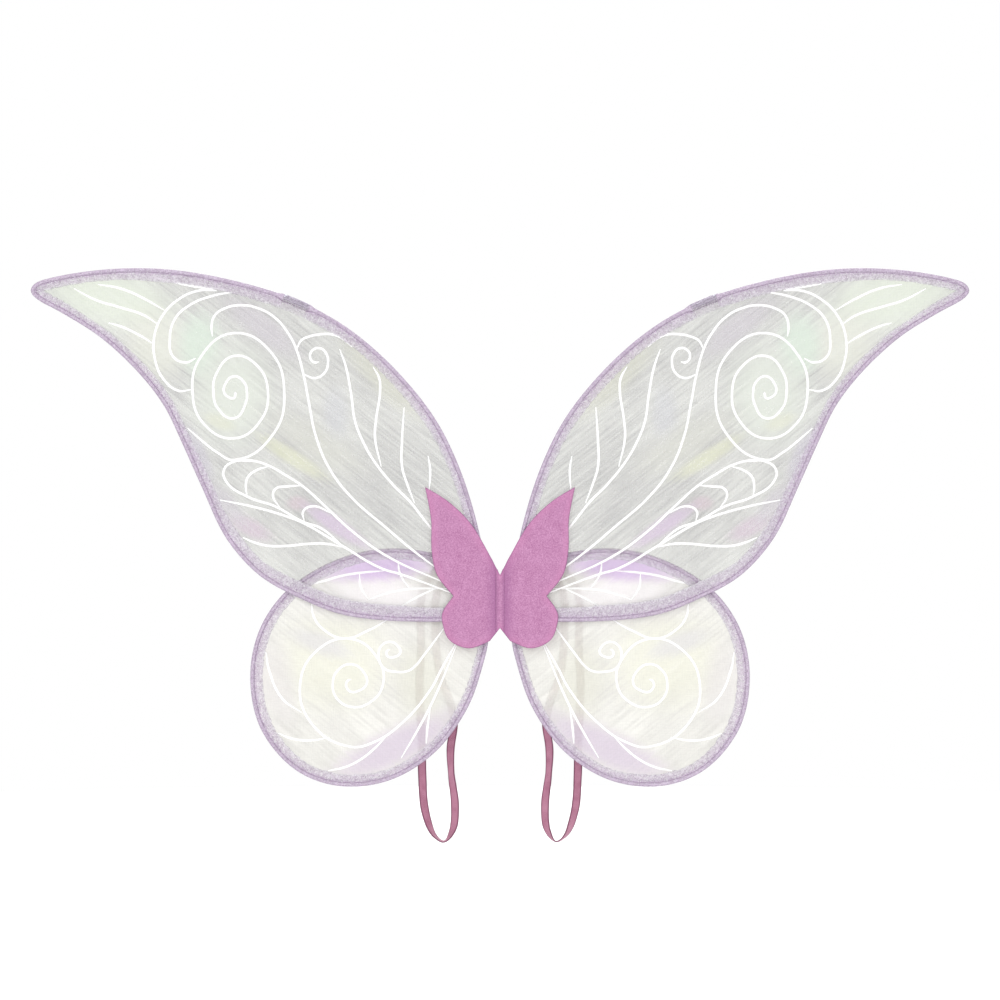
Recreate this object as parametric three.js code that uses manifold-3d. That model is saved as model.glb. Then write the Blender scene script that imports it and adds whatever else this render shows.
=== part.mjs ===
// Fairy wings for a costume: four wire-framed organza wings, held at the root between
// two butterfly-shaped felt patches, with an elastic shoulder loop behind each side.
//
// Millimetres. Z is up as worn, X runs along the span, and the outer side faces -Y.
// The origin is the middle of the back face of the felt, on the spine.
// Every piece is drawn for the +X side, and its twin is the mirror image.

import * as THREE from 'three';
import { mergeVertices } from 'three/addons/utils/BufferGeometryUtils.js';
import Module from 'manifold-3d';

const wasm = await Module();
wasm.setup();

// ---------------------------------------------------------------- driving dimensions

const wingSpan = 900; // tip to tip
const wingHeight = 498; // top of the upper wings to the bottom of the lower wings
const patchWidth = 144; // felt butterfly, tip to tip
const patchHeight = 155; // felt butterfly, upper tips to lower lobes

const feltThickness = 1.5;
const wireRadius = 1.0;
const wireClearance = 0.3; // between the wire and the casing around it
const hemLeaf = 0.3; // thickness of one leaf of the folded hem
const hemWidth = 10; // from the wire to the inner edge of the hem
const filmThickness = 0.4;
const gap = 0.3; // between neighbours that touch

const spineHalfWidth = 4.0;
const foldHalfWidth = 4.4; // where the front felt of a wing half starts
const backFoldHalfWidth = 5.2; // wider, so that the halves can bend back a little
const spineCoreHalfWidth = 3.5;

const joinSleeveLength = 26; // on the upper wire, in the top hem
const joinSleeveClearance = 0.9; // looser, because the wire is curved inside it
const joinSleeveWall = 0.8;
const rootSleeveLength = 10; // on the lower wire, under the felt
const wireEndGap = 0.8; // between the two ends of a wire inside its sleeve

const bindingHeight = 10;
const bindingTape = 0.3;
const bindingSlack = 0.4; // the tape stands this much off each wire at the sides
const bindingLevel = 5; // height of the middle of the root binding

const strapWidth = 8;
const strapThickness = 1.2;
const anchorPatch = { left: 46.5, right: 64.5, bottom: 33, top: 46, thickness: 1.2 };

// ---------------------------------------------------------------- layers along Y

const hemHalf = wireRadius + wireClearance + hemLeaf;
const lowerPlane = -(feltThickness + gap + hemHalf);
const upperPlane = lowerPlane - 2 * hemHalf - gap;
const frontFeltBack = upperPlane - hemHalf - gap;
const coreFront = frontFeltBack + gap;
const coreBack = -(feltThickness + gap);

// ---------------------------------------------------------------- fits

const bindingHalfWidth = wireRadius + gap + bindingTape + bindingSlack;
const filmInset = bindingHalfWidth + 2 * gap; // from the wire to the film's cut edge
const joinSleeve = {
  length: joinSleeveLength,
  bore: wireRadius + joinSleeveClearance,
  radius: wireRadius + joinSleeveClearance + joinSleeveWall,
};
const rootSleeve = {
  length: rootSleeveLength,
  bore: wireRadius + wireClearance,
  radius: hemHalf,
};

// ---------------------------------------------------------------- fineness

const stepsPerUpperPoint = 3;
const stepsPerLowerPoint = 4;
const strapSteps = 52;
const sleeveSides = 12;

// ---------------------------------------------------------------- outlines on X and Z

// The outlines are drawn for these overall sizes and stretched to the driving ones.
const drawn = { span: 900, height: 498, patchWidth: 144, patchHeight: 155 };
const spanScale = wingSpan / drawn.span;
const heightScale = wingHeight / drawn.height;
const patchScaleX = patchWidth / drawn.patchWidth;
const patchScaleZ = patchHeight / drawn.patchHeight;

// Upper wing wire, anticlockwise from the joining sleeve on its top edge.
const upperWirePoints = [
  [195.5, 286.2], [147, 259.7], [101, 219.6], [63, 172], [39.6, 124], [23, 70.5],
  [15.8, 34], [14, 14], [14, -2], [19, -12.5], [34, -18], [58, -19.2],
  [115, -17.5], [153, -11.8], [188, 1.6], [229.3, 24.4], [261.6, 60.4], [283.5, 106.3],
  [303.7, 151.4], [321, 187], [346, 219.5], [383, 253.8], [421.5, 278], [444, 290.6],
  [448.8, 296.8], [445.5, 302.4], [426.7, 308.6], [374, 316], [317, 315.5], [254, 304.6],
];

// Lower wing wire, anticlockwise from the sleeve that is hidden under the felt.
const lowerWirePoints = [
  [13.2, -20], [12.6, -37], [18, -62], [32.6, -102.9], [63.5, -145], [106, -171.5],
  [153.4, -177.3], [195.8, -161.8], [228.8, -122.2], [238.3, -72.1], [228.8, -27.6],
  [202.4, 9.2], [157.7, 36.8], [113, 47.7], [67.6, 44.4], [34, 35], [18.8, 25],
  [14, 13], [13.8, -3],
];

// Felt butterfly, right half, from the top notch round to the bottom notch.
const feltTopNotch = [0, 24];
const feltUpperEdge = [[9.8, 42.8], [27.3, 72.5], [49, 94.1], [72, 108.5]];
const feltOuterEdge = [[66.2, 77.8], [65.7, 48], [60.5, 24], [44.8, 3.8]];
const feltLowerLobe = [[53.6, -8.4], [55.7, -19.2], [49, -38], [30, -46.4], [9.8, -39.4]];
const feltBottomNotch = [0, -26.9];

// The hems stop a little way in under the felt.
const upperHemTopEnd = 48 * patchScaleZ;
const upperHemRootEnd = 44 * patchScaleX;
const lowerHemTopEnd = 52 * patchScaleX;
const lowerHemRootEnd = -32 * patchScaleZ;

// Shoulder strap: down the outer run, round the bottom of the loop and up the inner run.
const strapRoute = [
  [60.4, 0.9, 32.4], [60.6, 0.9, 30], [64.5, 1.1, 24], [71.5, 1.4, 15], [75.6, 1.7, 3],
  [76.6, 2.1, -15], [75.8, 2.8, -43], [77.6, 3.6, -86], [75.2, 4.6, -134], [74.9, 5.2, -168],
  [72, 5.8, -203.5], [63.4, 6.2, -226.6], [53.8, 6.3, -233], [45.3, 6.1, -220.8],
  [43.4, 5.6, -196.8], [46.8, 5, -168], [47.6, 4.6, -144], [44.4, 4.2, -117], [49, 3.9, -96],
  [57, 3.5, -74.9], [61.2, 2.8, -48], [62.2, 2.2, -24], [62.2, 1.7, -4], [59, 1.4, 10],
  [53.5, 1.1, 22], [51.1, 0.9, 30], [51, 0.9, 32.4],
];

// ---------------------------------------------------------------- helpers

const slots = {
  felt: { color: 0xc892b8, roughness: 0.95, metalness: 0 },
  film: { color: 0xe8eae4, roughness: 0.35, metalness: 0, transparent: true, opacity: 0.55 },
  hem: { color: 0xc6b4c8, roughness: 0.6, metalness: 0 },
  wire: { color: 0x8d8f94, roughness: 0.35, metalness: 1 },
  sleeve: { color: 0xb9bcc2, roughness: 0.3, metalness: 1 },
  tape: { color: 0xe4dfe2, roughness: 0.9, metalness: 0 },
  elastic: { color: 0xbe88a2, roughness: 0.85, metalness: 0 },
};

const wings = new THREE.Group();

function addPiece(name, geometry, slot) {
  geometry.computeVertexNormals();
  const mesh = new THREE.Mesh(geometry, new THREE.MeshStandardMaterial(slots[slot]));
  mesh.name = name;
  wings.add(mesh);
}

// Mirror a closed body in the YZ plane and turn its faces to point out again.
function mirrored(geometry) {
  const twin = geometry.index ? geometry.toNonIndexed() : geometry.clone();
  twin.scale(-1, 1, 1);
  const position = twin.attributes.position;
  const first = new THREE.Vector3();
  const second = new THREE.Vector3();
  for (let i = 0; i < position.count; i += 3) {
    first.fromBufferAttribute(position, i + 1);
    second.fromBufferAttribute(position, i + 2);
    position.setXYZ(i + 1, second.x, second.y, second.z);
    position.setXYZ(i + 2, first.x, first.y, first.z);
  }
  return twin;
}

function addPair(name, geometry, slot) {
  addPiece(`left_${name}`, mirrored(geometry), slot);
  addPiece(`right_${name}`, geometry, slot);
}

// A flat plate with its back face at backY and its outline on X and Z.
function plate(shape, backY, thickness) {
  const geometry = new THREE.ExtrudeGeometry(shape, {
    depth: thickness,
    bevelEnabled: false,
    curveSegments: 5,
  });
  geometry.rotateX(Math.PI / 2);
  geometry.translate(0, backY, 0);
  return geometry;
}

function polygon(points) {
  return new THREE.Shape(points.map(([x, y]) => new THREE.Vector2(x, y)));
}

// Part of a closed loop. Its steps follow the loop's own points, so that a tight
// bend gets short steps.
class LoopStretch extends THREE.Curve {
  constructor(loop, from, to) {
    super();
    this.loop = loop;
    this.from = from;
    this.to = to;
  }

  getPoint(t, target = new THREE.Vector3()) {
    const along = this.from + (this.to - this.from) * t;
    return this.loop.getPoint(THREE.MathUtils.euclideanModulo(along, 1), target);
  }

  getPointAt(t, target) {
    return this.getPoint(t, target);
  }

  getTangentAt(t, target) {
    return this.getTangent(t, target);
  }
}

function sweep(section, curve, steps) {
  return new THREE.ExtrudeGeometry(section, {
    steps,
    extrudePath: curve,
    bevelEnabled: false,
  });
}

function wireLoop(points, planeY) {
  const scaled = points.map(([x, z]) => new THREE.Vector3(x * spanScale, planeY, z * heightScale));
  return new THREE.CatmullRomCurve3(scaled, true, 'centripetal');
}

// The share of the loop, walking from one share to another, where a coordinate first
// passes a value.
function crossing(loop, axis, value, from, to) {
  const samples = 400;
  const start = loop.getPoint(from)[axis] - value;
  for (let i = 1; i <= samples; i += 1) {
    const share = from + ((to - from) * i) / samples;
    if ((loop.getPoint(share)[axis] - value) * start <= 0) {
      return share;
    }
  }
  return to;
}

function toSolid(geometry) {
  const bare = geometry.clone();
  bare.deleteAttribute('normal');
  bare.deleteAttribute('uv');
  const merged = mergeVertices(bare, 1e-4);
  return new wasm.Manifold(new wasm.Mesh({
    numProp: 3,
    vertProperties: new Float32Array(merged.attributes.position.array),
    triVerts: new Uint32Array(merged.index.array),
  }));
}

function toGeometry(solid) {
  const mesh = solid.getMesh();
  const geometry = new THREE.BufferGeometry();
  geometry.setAttribute('position', new THREE.BufferAttribute(mesh.vertProperties, 3));
  geometry.setIndex(new THREE.BufferAttribute(mesh.triVerts, 1));
  return geometry.toNonIndexed();
}

// ---------------------------------------------------------------- felt and spine

function feltPoint([x, z]) {
  return new THREE.Vector2(x * patchScaleX, z * patchScaleZ);
}

// Height of the felt's edge at a distance x from the spine, beside a notch.
function feltEdgeAt(notch, neighbour, x) {
  const from = feltPoint(notch);
  const to = feltPoint(neighbour);
  return from.y + ((to.y - from.y) * (x - from.x)) / (to.x - from.x);
}

function feltHalf(startX) {
  const shape = new THREE.Shape();
  shape.moveTo(startX, feltEdgeAt(feltTopNotch, feltUpperEdge[0], startX));
  shape.splineThru(feltUpperEdge.map(feltPoint));
  shape.splineThru(feltOuterEdge.map(feltPoint));
  shape.splineThru(feltLowerLobe.map(feltPoint));
  shape.lineTo(startX, feltEdgeAt(feltBottomNotch, feltLowerLobe.at(-1), startX));
  shape.closePath();
  return shape;
}

function spineStrip(halfWidth) {
  const top = feltEdgeAt(feltTopNotch, feltUpperEdge[0], halfWidth);
  const bottom = feltEdgeAt(feltBottomNotch, feltLowerLobe.at(-1), halfWidth);
  const topNotch = feltPoint(feltTopNotch).y;
  const bottomNotch = feltPoint(feltBottomNotch).y;
  return polygon([
    [-halfWidth, bottom], [0, bottomNotch], [halfWidth, bottom],
    [halfWidth, top], [0, topNotch], [-halfWidth, top],
  ]);
}

function buildFelt() {
  addPair('front_felt', plate(feltHalf(foldHalfWidth), frontFeltBack, feltThickness), 'felt');
  addPair('back_felt', plate(feltHalf(backFoldHalfWidth), 0, feltThickness), 'felt');
  addPiece('front_spine_strip', plate(spineStrip(spineHalfWidth), frontFeltBack, feltThickness), 'felt');
  addPiece('back_spine_strip', plate(spineStrip(spineHalfWidth), 0, feltThickness), 'felt');
  addPiece('spine_core', plate(spineStrip(spineCoreHalfWidth), coreBack, coreBack - coreFront), 'felt');
}

// ---------------------------------------------------------------- wire, hem and film

function wireSection() {
  const sides = 6;
  const points = [];
  for (let i = 0; i < sides; i += 1) {
    const angle = (i * 2 * Math.PI) / sides;
    points.push([wireRadius * Math.cos(angle), wireRadius * Math.sin(angle)]);
  }
  return polygon(points);
}

// Cross-section of the hem: a folded strip, round the wire outside and closing on
// the film inside. Section x runs through the thickness and section y points out.
function hemSection() {
  const bore = wireRadius + wireClearance;
  const nose = bore + 0.15;
  const lip = filmThickness / 2 + gap;
  return polygon([
    [lip, -hemWidth], [lip + hemLeaf, -hemWidth],
    [hemHalf, 0.3], [0.75 * wireRadius, nose + hemLeaf],
    [-0.75 * wireRadius, nose + hemLeaf], [-hemHalf, 0.3],
    [-lip - hemLeaf, -hemWidth], [-lip, -hemWidth],
    [-bore, 0.3], [-0.5 * wireRadius, nose],
    [0.5 * wireRadius, nose], [bore, 0.3],
  ]);
}

// The cut edge of the film, a fixed distance inside the wire.
function filmShape(loop, count) {
  const outline = [];
  for (let i = 0; i < count; i += 1) {
    const point = loop.getPoint(i / count);
    const tangent = loop.getTangent(i / count);
    outline.push([point.x - tangent.z * filmInset, point.z + tangent.x * filmInset]);
  }
  return polygon(outline);
}

function sleeveOnLoop(loop, sleeve, growth) {
  const radius = sleeve.radius + growth;
  const bore = sleeve.bore;
  const half = sleeve.length / 2 + growth;
  const profile = growth > 0
    ? [[0, -half], [radius, -half], [radius, half], [0, half]]
    : [[bore, -half], [radius, -half], [radius, half], [bore, half], [bore, -half]];
  const turned = profile.map(([r, y]) => new THREE.Vector2(r, y));
  const geometry = new THREE.LatheGeometry(turned, sleeveSides);
  const centre = loop.getPoint(0);
  const tangent = loop.getTangent(0);
  const upright = new THREE.Vector3(0, 1, 0);
  geometry.applyQuaternion(new THREE.Quaternion().setFromUnitVectors(upright, tangent));
  geometry.translate(centre.x, centre.y, centre.z);
  return geometry;
}

function buildWing(name, loop, sleeve, hemStart, hemEnd, steps) {
  const endShare = loop.getUtoTmapping(wireEndGap / 2 / loop.getLength());
  const wireStretch = new LoopStretch(loop, endShare, 1 - endShare);
  const hemSteps = Math.round(steps * (hemEnd - hemStart));
  const hem = sweep(hemSection(), new LoopStretch(loop, hemStart, hemEnd), hemSteps);
  const film = plate(filmShape(loop, steps), loop.getPoint(0).y + filmThickness / 2, filmThickness);
  const sleeveRoom = toSolid(sleeveOnLoop(loop, sleeve, gap));
  const cutHem = toGeometry(toSolid(hem).subtract(sleeveRoom));
  const cutFilm = toGeometry(toSolid(film).subtract(sleeveRoom));
  addPair(`${name}_wire`, sweep(wireSection(), wireStretch, steps), 'wire');
  addPair(`${name}_sleeve`, sleeveOnLoop(loop, sleeve, 0), 'sleeve');
  addPair(`${name}_hem`, cutHem, 'hem');
  addPair(`${name}_film`, cutFilm, 'film');
}

function buildRootBinding(upperX, lowerX) {
  const left = Math.min(upperX, lowerX) - bindingHalfWidth;
  const right = Math.max(upperX, lowerX) + bindingHalfWidth;
  const band = polygon([
    [left, coreFront], [right, coreFront], [right, coreBack], [left, coreBack],
  ]);
  band.holes.push(polygon([
    [left + bindingTape, coreFront + bindingTape], [right - bindingTape, coreFront + bindingTape],
    [right - bindingTape, coreBack - bindingTape], [left + bindingTape, coreBack - bindingTape],
  ]));
  const geometry = new THREE.ExtrudeGeometry(band, { depth: bindingHeight, bevelEnabled: false });
  geometry.translate(0, 0, bindingLevel - bindingHeight / 2);
  addPair('root_binding', geometry, 'tape');
}

function buildWings() {
  const upperLoop = wireLoop(upperWirePoints, upperPlane);
  const lowerLoop = wireLoop(lowerWirePoints, lowerPlane);
  const upperSteps = stepsPerUpperPoint * upperWirePoints.length;
  const lowerSteps = stepsPerLowerPoint * lowerWirePoints.length;

  // The upper root lies between these shares of its loop, beside the spine.
  const rootTop = 4 / upperWirePoints.length;
  const rootBottom = 12 / upperWirePoints.length;
  const upperBound = crossing(upperLoop, 'z', bindingLevel, rootTop, rootBottom);
  const lowerBound = crossing(lowerLoop, 'z', bindingLevel, 1, 0.8);
  const upperHemStart = crossing(upperLoop, 'x', upperHemRootEnd, upperBound, rootBottom);
  const upperHemStop = crossing(upperLoop, 'z', upperHemTopEnd, upperBound, rootTop);
  const lowerHemStart = crossing(lowerLoop, 'z', lowerHemRootEnd, 0, 0.2);
  const lowerHemStop = crossing(lowerLoop, 'x', lowerHemTopEnd, lowerBound, 0.6);

  buildWing('upper', upperLoop, joinSleeve, upperHemStart, 1 + upperHemStop, upperSteps);
  buildWing('lower', lowerLoop, rootSleeve, lowerHemStart, lowerHemStop, lowerSteps);
  buildRootBinding(upperLoop.getPoint(upperBound).x, lowerLoop.getPoint(lowerBound).x);
}

// ---------------------------------------------------------------- shoulder straps

function strapSection() {
  const halfThick = strapThickness / 2;
  const halfWide = strapWidth / 2;
  const shoulder = halfWide - halfThick;
  return polygon([
    [halfThick, -shoulder], [halfThick, shoulder], [halfThick / 2, halfWide],
    [-halfThick / 2, halfWide], [-halfThick, shoulder], [-halfThick, -shoulder],
    [-halfThick / 2, -halfWide], [halfThick / 2, -halfWide],
  ]);
}

function buildStraps() {
  const { left, right, bottom, top, thickness } = anchorPatch;
  const outline = polygon([[left, bottom], [right, bottom], [right, top], [left, top]]);
  addPair('strap_anchor', plate(outline, gap + thickness, thickness), 'tape');
  const route = new THREE.CatmullRomCurve3(strapRoute.map((point) => new THREE.Vector3(...point)));
  addPair('shoulder_strap', sweep(strapSection(), route, strapSteps), 'elastic');
}

buildFelt();
buildWings();
buildStraps();

export default wings;
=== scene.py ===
"""Fairy wings: four sheer wings on sprung wire, held between two felt butterflies.

Everything is drawn for the right side, +X, and its left twin is the mirror image.
"""

import math

import bmesh
import bpy
from mathutils import Matrix, Vector, kdtree, noise


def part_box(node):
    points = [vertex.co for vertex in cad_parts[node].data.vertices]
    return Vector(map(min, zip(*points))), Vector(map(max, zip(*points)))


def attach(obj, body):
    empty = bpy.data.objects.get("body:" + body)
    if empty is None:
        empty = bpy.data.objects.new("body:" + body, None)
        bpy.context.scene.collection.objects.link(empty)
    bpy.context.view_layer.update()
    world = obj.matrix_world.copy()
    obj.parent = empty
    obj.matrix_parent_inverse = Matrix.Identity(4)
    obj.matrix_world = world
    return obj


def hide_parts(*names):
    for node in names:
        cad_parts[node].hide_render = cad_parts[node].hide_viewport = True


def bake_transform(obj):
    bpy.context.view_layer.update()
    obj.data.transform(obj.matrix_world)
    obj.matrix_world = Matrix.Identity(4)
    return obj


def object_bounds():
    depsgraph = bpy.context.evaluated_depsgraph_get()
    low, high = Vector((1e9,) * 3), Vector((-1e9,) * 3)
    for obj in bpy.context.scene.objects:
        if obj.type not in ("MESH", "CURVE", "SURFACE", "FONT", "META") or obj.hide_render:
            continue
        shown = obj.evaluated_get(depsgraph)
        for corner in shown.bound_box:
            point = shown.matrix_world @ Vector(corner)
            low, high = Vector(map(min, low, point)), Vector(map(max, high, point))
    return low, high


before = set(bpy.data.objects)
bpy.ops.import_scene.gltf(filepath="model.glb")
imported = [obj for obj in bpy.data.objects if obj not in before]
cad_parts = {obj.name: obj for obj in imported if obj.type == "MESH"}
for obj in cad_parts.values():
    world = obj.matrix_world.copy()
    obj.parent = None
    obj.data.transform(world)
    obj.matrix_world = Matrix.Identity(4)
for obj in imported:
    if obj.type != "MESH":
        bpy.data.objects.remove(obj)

CAD_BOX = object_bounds()

# ---------------------------------------------------------------- values, in metres

MM = 0.001
MERGE = 0.001 * MM  # two vertices nearer than this are one
SHARP = math.radians(70)  # faces that meet at more than this keep a crisp edge

HEM_ROLL = 1.62 * MM  # half thickness of the hem's roll round the wire
HEM_STEP = 1.6 * MM  # along the wire
STITCH_PITCH = 3.2 * MM
STITCH_LENGTH = 2.3 * MM
STITCH_RADIUS = 0.24 * MM
SEAM = 2.3 * MM  # from the wire, inwards

FILM_HALF = 0.13 * MM
FILM_CELL = 5 * MM
FILM_PULL = 0.75 * MM  # how far the stretched film leaves its plane
FILM_RIM = 28 * MM  # width of the flat margin beside the hem

VEIN_WIDTH = 2.6 * MM
VEIN_RISE = 0.22 * MM

FELT_CELL = 1.5 * MM
FELT_ROUND = 0.8 * MM  # radius of the cut edge
FELT_DIP = 1.3 * MM  # how far the felt sinks beside the crease
FELT_DIP_WIDTH = 7 * MM
STRIP_DIP_WIDTH = 1.9 * MM
STRIP_EDGE = 4.0 * MM

STRAP_STEP = 1.5 * MM

# ---------------------------------------------------------------- helpers


def linear(hex_colour):
    """An sRGB hex colour as linear red, green, blue and alpha."""
    shares = [int(hex_colour[i:i + 2], 16) / 255 for i in (1, 3, 5)]
    return [s / 12.92 if s <= 0.04045 else ((s + 0.055) / 1.055) ** 2.4 for s in shares] + [1.0]


def add(material, kind, inputs=None, **settings):
    """Add a node: inputs are socket values, or the outputs that feed them."""
    made = material.node_tree.nodes.new(kind)
    for name, value in settings.items():
        setattr(made, name, value)
    for socket, value in (inputs or {}).items():
        if isinstance(value, bpy.types.NodeSocket):
            material.node_tree.links.new(value, made.inputs[socket])
        else:
            made.inputs[socket].default_value = value
    return made


def blank_material(name):
    material = bpy.data.materials.new(name)
    material.use_nodes = True
    material.node_tree.nodes.clear()
    return material


def close_material(material, shader):
    add(material, "ShaderNodeOutputMaterial", {"Surface": shader.outputs[0]})
    return material


def stops(ramp, *colours):
    """Set a colour ramp's stops, each a place from 0 to 1 and a hex colour."""
    band = ramp.color_ramp.elements
    while len(band) < len(colours):
        band.new(0.5)
    for stop, (place, colour) in zip(band, colours):
        stop.position = place
        stop.color = linear(colour)


def smoothstep(low, high, value):
    share = min(max((value - low) / (high - low), 0.0), 1.0)
    return share * share * (3 - 2 * share)


def keyed(keys, value):
    """Straight-line value between (place, value) keys."""
    for (a, low), (b, high) in zip(keys, keys[1:]):
        if value <= b:
            return low + (high - low) * max(value - a, 0) / (b - a)
    return keys[-1][1]


def catmull_rom(p0, p1, p2, p3, share):
    """Point on the centripetal Catmull-Rom span from p1 to p2."""
    t1 = (p1 - p0).length ** 0.5
    t2 = t1 + (p2 - p1).length ** 0.5
    t3 = t2 + (p3 - p2).length ** 0.5
    t = t1 + (t2 - t1) * share
    a1 = p0.lerp(p1, t / t1)
    a2 = p1.lerp(p2, (t - t1) / (t2 - t1))
    a3 = p2.lerp(p3, (t - t2) / (t3 - t2))
    b1 = a1.lerp(a2, t / t2)
    b2 = a2.lerp(a3, (t - t1) / (t3 - t1))
    return b1.lerp(b2, (t - t1) / (t2 - t1))


def even_path(points, step, closed=False):
    """Points about one step apart on a smooth curve through the given ones."""
    if closed:
        guide = [points[-1], *points, *points[:2]]
    else:
        guide = [2 * points[0] - points[1], *points, 2 * points[-1] - points[-2]]
    parts = 12
    fine = [
        catmull_rom(*guide[i:i + 4], k / parts)
        for i in range(len(guide) - 3) for k in range(parts)
    ]
    fine.append(points[0] if closed else points[-1])
    reached = [0.0]
    for a, b in zip(fine, fine[1:]):
        reached.append(reached[-1] + (b - a).length)
    count = round(reached[-1] / step)
    even = []
    i = 0
    for n in range(count + (0 if closed else 1)):
        wanted = reached[-1] * n / count
        while i < len(fine) - 2 and reached[i + 1] < wanted:
            i += 1
        span = reached[i + 1] - reached[i]
        even.append(fine[i].lerp(fine[i + 1], (wanted - reached[i]) / span))
    return even


def sweep(bm, rings, notes=None):
    """Grow a closed body through rings of points, extruding its end face each time.

    notes gives each vertex layer a value for each ring and each point on it.
    """
    face = bm.faces.new([bm.verts.new(point) for point in rings[0]])
    for r, ring in enumerate(rings):
        if r:
            grown = bmesh.ops.extrude_face_region(bm, geom=[face])["geom"]
            if r > 1:
                bmesh.ops.delete(bm, geom=[face], context="FACES_ONLY")
            face = next(item for item in grown if isinstance(item, bmesh.types.BMFace))
        for k, (vert, point) in enumerate(zip(face.verts, ring)):
            vert.co = point
            for layer, values in (notes or {}).items():
                vert[layer] = values[r][k]
    bmesh.ops.recalc_face_normals(bm, faces=bm.faces)


def node_copy(node):
    """A merged copy of a CAD node's mesh."""
    bm = bmesh.new()
    bm.from_mesh(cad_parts[node].data)
    bmesh.ops.remove_doubles(bm, verts=bm.verts, dist=MERGE)
    return bm


def front_face(node):
    """The flat face of a CAD plate that looks towards -Y, as one face."""
    bm = node_copy(node)
    others = [face for face in bm.faces if face.normal.y > -0.9]
    bmesh.ops.delete(bm, geom=others, context="FACES")
    bmesh.ops.dissolve_limit(bm, angle_limit=0.01, verts=bm.verts, edges=bm.edges)
    return bm


def corners(bm):
    places = [vert.co for vert in bm.verts]
    low = Vector(min(p[i] for p in places) for i in range(3))
    high = Vector(max(p[i] for p in places) for i in range(3))
    return low, high


def cut_grid(bm, cell):
    """Cut a flat panel's faces along a square grid on X and Z."""
    low, high = corners(bm)
    for axis in (0, 2):
        for i in range(1, math.ceil((high[axis] - low[axis]) / cell)):
            place = low.copy()
            place[axis] += i * cell
            normal = Vector((axis == 0, 0, axis == 2))
            everything = bm.verts[:] + bm.edges[:] + bm.faces[:]
            bmesh.ops.bisect_plane(bm, geom=everything, plane_co=place, plane_no=normal)


def rim_finder(bm, step, skip=None):
    """A function that gives the distance from a point to the panel's edge.

    An edge whose two ends both pass the skip test isn't counted.
    """
    samples = []
    for edge in bm.edges:
        if edge.is_boundary and not (skip and all(skip(vert) for vert in edge.verts)):
            a, b = (vert.co for vert in edge.verts)
            count = math.ceil((b - a).length / step)
            samples += [a.lerp(b, k / count) for k in range(count)]
    tree = kdtree.KDTree(len(samples))
    for i, place in enumerate(samples):
        tree.insert(place, i)
    tree.balance()
    return lambda place: tree.find(place)[2]


def close_panel(bm, front, back):
    """Make a flat panel a closed body. front and back give where each face stands on Y."""
    level = corners(bm)[0].y
    # An inner edge from rim to rim would join both faces, so it gets a point between.
    spans = [edge for edge in bm.edges
             if not edge.is_boundary and all(vert.is_boundary for vert in edge.verts)]
    bmesh.ops.subdivide_edges(bm, edges=spans, cuts=1)
    twin = bmesh.ops.duplicate(bm, geom=bm.verts[:] + bm.edges[:] + bm.faces[:])["geom"]
    back_faces = [item for item in twin if isinstance(item, bmesh.types.BMFace)]
    back_verts = {item for item in twin if isinstance(item, bmesh.types.BMVert)}
    bmesh.ops.reverse_faces(bm, faces=back_faces)
    rim = {vert for vert in bm.verts if vert.is_boundary and not at_crease(vert)}
    for vert in bm.verts:
        flat = Vector((vert.co.x, level, vert.co.z))
        near, far = front(flat), back(flat)
        if vert in rim:
            vert.co.y = (near + far) / 2
        else:
            vert.co.y = far if vert in back_verts else near
    bmesh.ops.remove_doubles(bm, verts=bm.verts, dist=MERGE)


def mirrored(bm):
    twin = bm.copy()
    bmesh.ops.scale(twin, vec=(-1, 1, 1), verts=twin.verts)
    bmesh.ops.reverse_faces(twin, faces=twin.faces)
    return twin


def make_piece(name, bm, material, body=None, replaced=()):
    """A finished piece, attached to its body when one is given."""
    mesh = bpy.data.meshes.new(name)
    bm.to_mesh(mesh)
    bm.free()
    mesh.materials.append(material)
    mesh.shade_smooth()
    mesh.set_sharp_from_angle(angle=SHARP)
    piece = bpy.data.objects.new(name, mesh)
    bpy.context.scene.collection.objects.link(piece)
    if body:
        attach(piece, body)
    if replaced:
        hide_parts(*replaced)
    return piece


def make_pair(name, bm, material, replaced=None, blended=False):
    """The left and right copies of a piece drawn for the right side."""
    pair = {}
    for side, shape in (("left", mirrored(bm)), ("right", bm)):
        body = None if blended else f"{side}_wings"
        nodes = (f"{side}_{replaced}",) if replaced else ()
        pair[side] = make_piece(f"{side}_{name}", shape, material, body, nodes)
    return pair


SIDES = {"left": -1, "right": 1}

# ---------------------------------------------------------------- camera

CAMERA_DISTANCE = 4.0
CAMERA_LENS = 150  # millimetres, on a 36 mm sensor: the frame is 0.96 m wide at the wings
CAMERA_HEIGHT = 96 * MM


def make_camera():
    lens = bpy.data.cameras.new("camera")
    lens.lens = CAMERA_LENS
    lens.sensor_width = 36
    lens.clip_end = 50
    camera = bpy.data.objects.new("camera", lens)
    wing_plane = (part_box("right_upper_film")[0][1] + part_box("right_upper_film")[1][1]) / 2
    camera.location = (0, wing_plane - CAMERA_DISTANCE, CAMERA_HEIGHT)
    camera.rotation_euler = (math.pi / 2, 0, 0)
    bpy.context.scene.collection.objects.link(camera)
    bpy.context.scene.camera = camera


# ---------------------------------------------------------------- shoulder straps

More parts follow.
